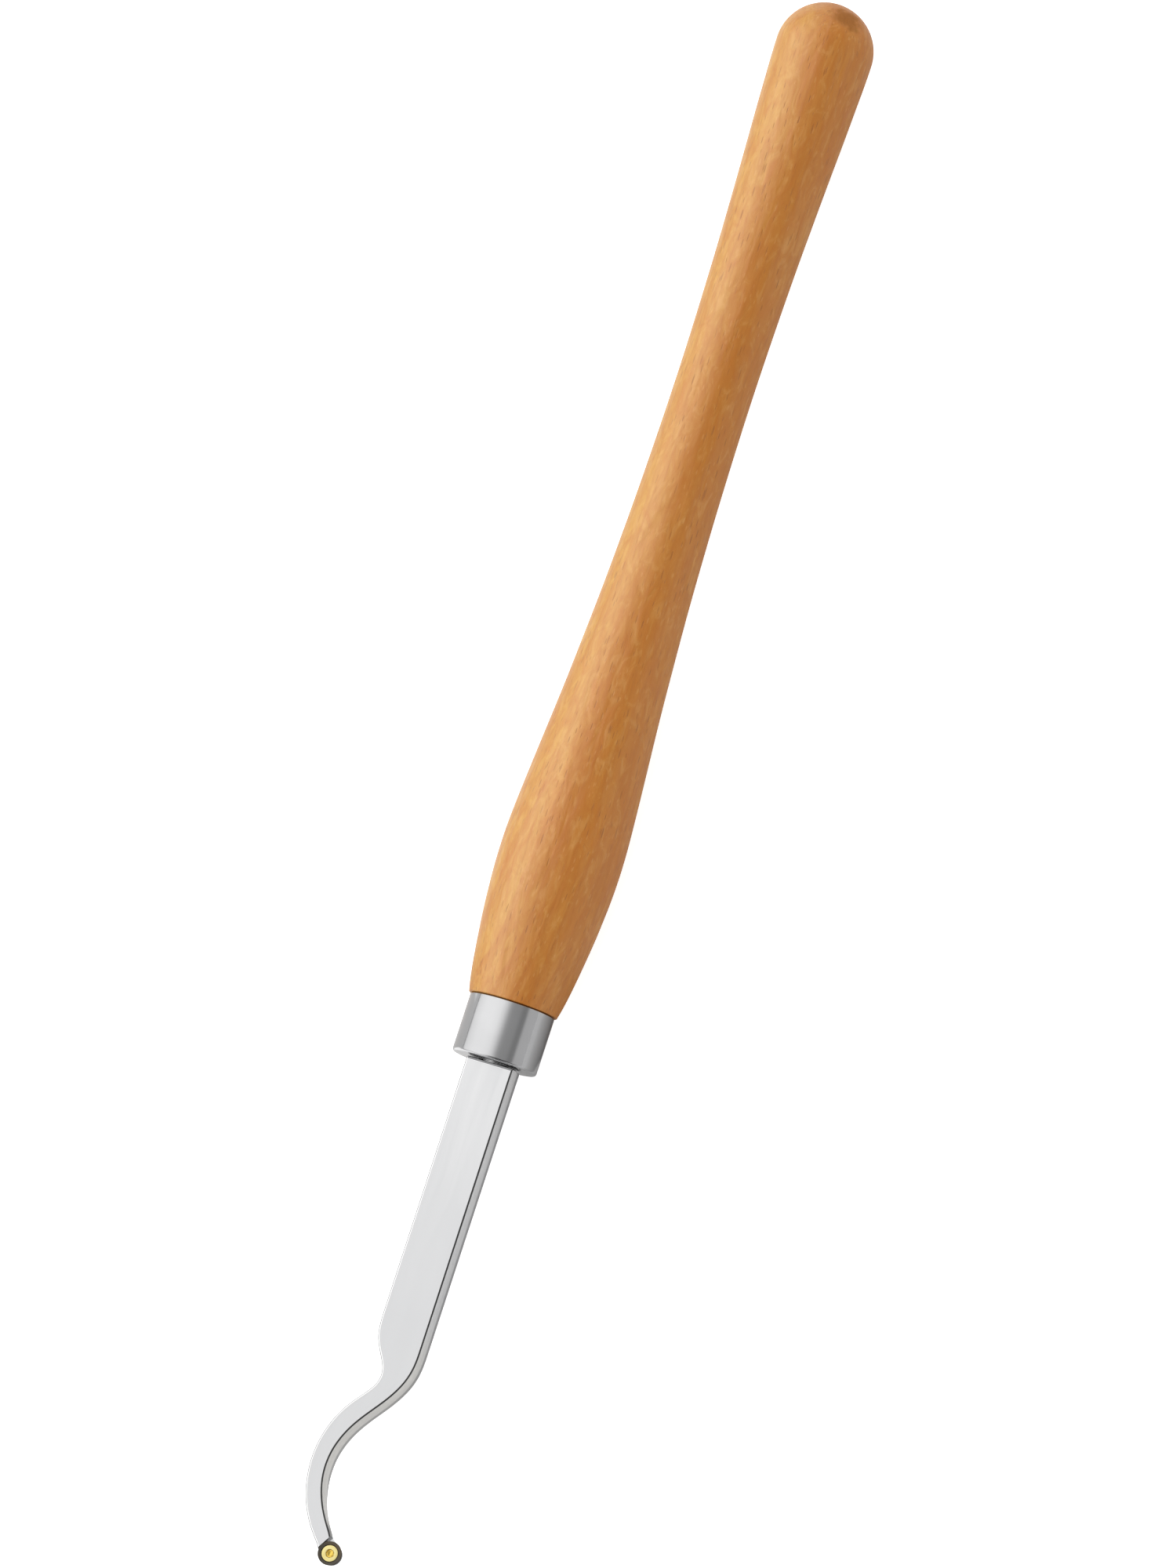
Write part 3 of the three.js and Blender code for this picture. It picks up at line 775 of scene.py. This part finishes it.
def stage():
    lo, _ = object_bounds()
    size = 6.0
    mesh = bpy.data.meshes.new("floor")
    mesh.from_pydata([(-size, -size, lo.z), (size, -size, lo.z), (size, size, lo.z), (-size, size, lo.z)], [], [(0, 1, 2, 3)])
    floor = bpy.data.objects.new("floor", mesh)
    scene.collection.objects.link(floor)
    m = Nodes("pale_floor")
    cloud = m.noise(m.coords((3.0, 3.0, 3.0)), 1.0, 2.0)
    # a pale table, lifted to a white ground where it is seen directly
    path = m.node("LightPath").outputs
    place = m.node("SeparateXYZ", {0: m.node("TexCoord").outputs["Object"]}).outputs
    # painted for reflections only: a glowing white patch on the left, apart from the stretch beside the ferrule, and a
    # painted shadow on the right of the ferrule, darkest near the tool
    behind = m.remap(place[0], 0.066, 0.058)
    before = m.remap(place[0], 0.100, 0.106)
    near = m.math("MULTIPLY", m.remap(place[1], -0.012, -0.030), m.remap(place[1], -0.170, -0.110))
    # painted glow: the floor shines here for reflections though no lamp is there
    white = m.math("MULTIPLY", near, m.math("MULTIPLY_ADD", before, 0.80, m.math("MULTIPLY", behind, 0.50)))
    white = m.math("MULTIPLY", white, path["Is Glossy Ray"])
    # painted shadow on the floor, deepest next to the tool and fading out towards +Y
    painted_floor_shadow = m.math("MULTIPLY_ADD", m.math("SQRT", m.remap(place[1], 0.022, 0.150)), 0.56, 0.44)
    edge = m.math("MULTIPLY_ADD", m.remap(place[0], 0.088, 0.094), -0.016, place[1])
    painted_floor_shadow = m.math("MAXIMUM", painted_floor_shadow, m.remap(edge, 0.014, 0.021, 1.0, 0.0))
    painted_floor_shadow = m.math("MAXIMUM", painted_floor_shadow, m.math("MAXIMUM", behind, m.remap(place[0], 0.125, 0.140)))
    painted_floor_shadow = m.math("MAXIMUM", painted_floor_shadow, m.math("SUBTRACT", 1.0, path["Is Glossy Ray"]))
    table = m.mix(m.remap(cloud, 0.3, 0.7), (0.84, 0.84, 0.84), (0.81, 0.81, 0.81))
    m.set(Base_Color=m.mix(painted_floor_shadow, (0.0, 0.0, 0.0), table), Roughness=0.9, Emission_Color=(1.0, 1.0, 1.0),
          Emission_Strength=m.math("MULTIPLY_ADD", path["Is Camera Ray"], 0.80, white))
    m.bsdf.inputs["Specular IOR Level"].default_value = 0.0
    floor.data.materials.append(m.mat)
    floor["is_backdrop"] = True

    world = bpy.data.worlds.new("studio")
    scene.world = world
    world.use_nodes = True
    tree = world.node_tree
    tree.nodes.clear()
    out = tree.nodes.new("ShaderNodeOutputWorld")
    bg = tree.nodes.new("ShaderNodeBackground")
    where = tree.nodes.new("ShaderNodeTexCoord")
    sep = tree.nodes.new("ShaderNodeSeparateXYZ")
    flip = tree.nodes.new("ShaderNodeMath")
    flip.operation = "MULTIPLY"
    flip.inputs[1].default_value = -1.0
    turn = tree.nodes.new("ShaderNodeMath")
    turn.operation = "ARCTAN2"
    spread = tree.nodes.new("ShaderNodeMapRange")
    spread.inputs["From Min"].default_value = -math.pi / 2
    spread.inputs["From Max"].default_value = math.pi / 2
    ramp = tree.nodes.new("ShaderNodeValToRGB")
    tree.links.new(where.outputs["Generated"], sep.inputs[0])
    tree.links.new(sep.outputs[1], flip.inputs[0])
    tree.links.new(flip.outputs[0], turn.inputs[0])
    tree.links.new(sep.outputs[2], turn.inputs[1])
    tree.links.new(turn.outputs[0], spread.inputs["Value"])
    tree.links.new(spread.outputs[0], ramp.inputs[0])
    tree.links.new(ramp.outputs[0], bg.inputs[0])
    # the room is dark beyond the tip, most of all on the right-hand side
    ahead = tree.nodes.new("ShaderNodeMapRange")
    ahead.interpolation_type = "SMOOTHSTEP"
    ahead.inputs["From Min"].default_value = 0.50
    ahead.inputs["From Max"].default_value = 0.78
    aside = tree.nodes.new("ShaderNodeMapRange")
    aside.interpolation_type = "SMOOTHSTEP"
    aside.inputs["From Min"].default_value = math.radians(35.0)
    aside.inputs["From Max"].default_value = math.radians(5.0)
    both = tree.nodes.new("ShaderNodeMath")
    both.operation = "MULTIPLY"
    straight = tree.nodes.new("ShaderNodeMapRange")
    straight.interpolation_type = "SMOOTHSTEP"
    straight.inputs["From Min"].default_value = 0.90
    straight.inputs["From Max"].default_value = 0.95
    darker = tree.nodes.new("ShaderNodeMath")
    darker.operation = "MAXIMUM"
    level = tree.nodes.new("ShaderNodeMath")
    level.operation = "MULTIPLY_ADD"
    tree.links.new(sep.outputs[0], ahead.inputs["Value"])
    tree.links.new(turn.outputs[0], aside.inputs["Value"])
    tree.links.new(ahead.outputs[0], both.inputs[0])
    tree.links.new(aside.outputs[0], both.inputs[1])
    tree.links.new(sep.outputs[0], straight.inputs["Value"])
    tree.links.new(both.outputs[0], darker.inputs[0])
    tree.links.new(straight.outputs[0], darker.inputs[1])
    tree.links.new(darker.outputs[0], level.inputs[0])
    tree.links.new(level.outputs[0], bg.inputs[1])
    # seen directly, the room is as white as the table
    room = tree.nodes.new("ShaderNodeBackground")
    room.inputs[0].default_value = (1.0, 1.0, 1.0, 1.0)
    pick = tree.nodes.new("ShaderNodeMixShader")
    path = tree.nodes.new("ShaderNodeLightPath")
    tree.links.new(path.outputs["Is Camera Ray"], pick.inputs[0])
    tree.links.new(bg.outputs[0], pick.inputs[1])
    tree.links.new(room.outputs[0], pick.inputs[2])
    tree.links.new(pick.outputs[0], out.inputs[0])
    most = max(v for _, v in STUDIO)
    el = ramp.color_ramp.elements
    for i, (angle, val) in enumerate(STUDIO):
        at = (angle + 90.0) / 180.0
        e = el[0] if i == 0 else (el[-1] if i == len(STUDIO) - 1 else el.new(at))
        e.position = at
        e.color = (val / most, val / most, val / most, 1.0)
    level.inputs[1].default_value = -0.80 * most
    level.inputs[2].default_value = most

    lamp = bpy.data.lights.new("fill", "AREA")
    lamp.shape = "RECTANGLE"
    lamp.size, lamp.size_y = 1.6, 1.0
    lamp.energy = 4.5
    box = bpy.data.objects.new("fill", lamp)
    box.visible_glossy = False
    scene.collection.objects.link(box)
    box.location = (0.0, 1.65, 0.15)
    box.rotation_mode = "QUATERNION"
    box.rotation_quaternion = (Vector((0, 0, 0)) - Vector(box.location)).to_track_quat("-Z", "Y")

    # a long panel on the left puts the sheen on the varnish, and reaches only the wood
    lamp = bpy.data.lights.new("strip", "AREA")
    lamp.shape = "RECTANGLE"
    lamp.size, lamp.size_y = 1.6, 1.40
    lamp.energy = 9.6
    strip = bpy.data.objects.new("strip", lamp)
    strip.visible_diffuse = False
    strip.visible_camera = False
    scene.collection.objects.link(strip)
    strip.location = (-0.10, -1.06, 0.60)
    strip.rotation_mode = "QUATERNION"
    strip.rotation_quaternion = (Vector((-0.10, 0, 0)) - Vector(strip.location)).to_track_quat("-Z", "Y")
    only = bpy.data.collections.new("wood")
    only.objects.link(handle)
    strip.light_linking.receiver_collection = only


stage()
scene.view_settings.view_transform = "Standard"
scene.view_settings.look = "None"
scene.view_settings.exposure = 0.0
scene.view_settings.gamma = 1.0
